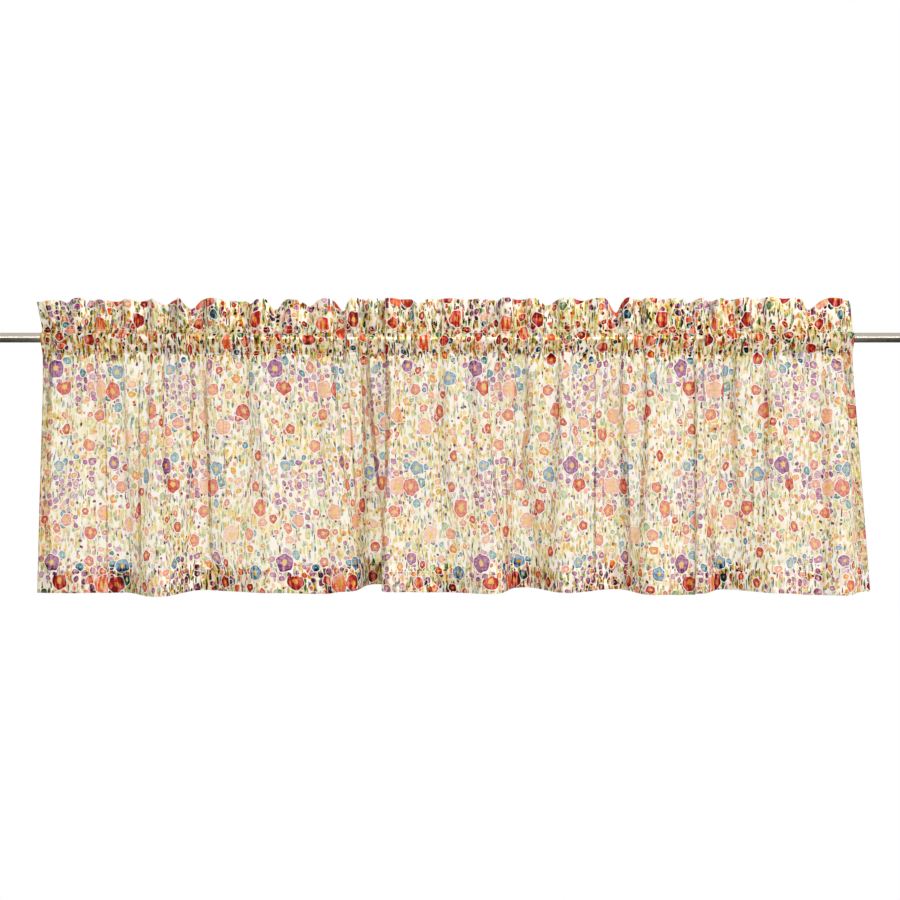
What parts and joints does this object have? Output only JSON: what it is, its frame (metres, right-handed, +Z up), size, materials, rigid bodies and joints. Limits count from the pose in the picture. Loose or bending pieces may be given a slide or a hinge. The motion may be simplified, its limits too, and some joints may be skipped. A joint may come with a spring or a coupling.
{
  "type": "window valance on a curtain rod",
  "caption": "Sheer printed window valance with a standing ruffle, gathered on a round curtain rod through its sewn tunnel.",
  "frame": {"origin": "middle of the rod's axis, where the rod is held up by what it hangs from", "axes": "+X along the rod to the right as seen from the room, -Y towards the room, +Z up"},
  "size_m": [2, 0.1466, 0.599],
  "materials": {
    "printed_voile": "sheer plain-weave voile, printed all over with small flowers",
    "satin_steel": "satin nickel on a drawn steel tube"
  },
  "bodies": {
    "root": {"valance": "printed_voile", "curtain_rod": "satin_steel"}
  },
  "joints": []
}
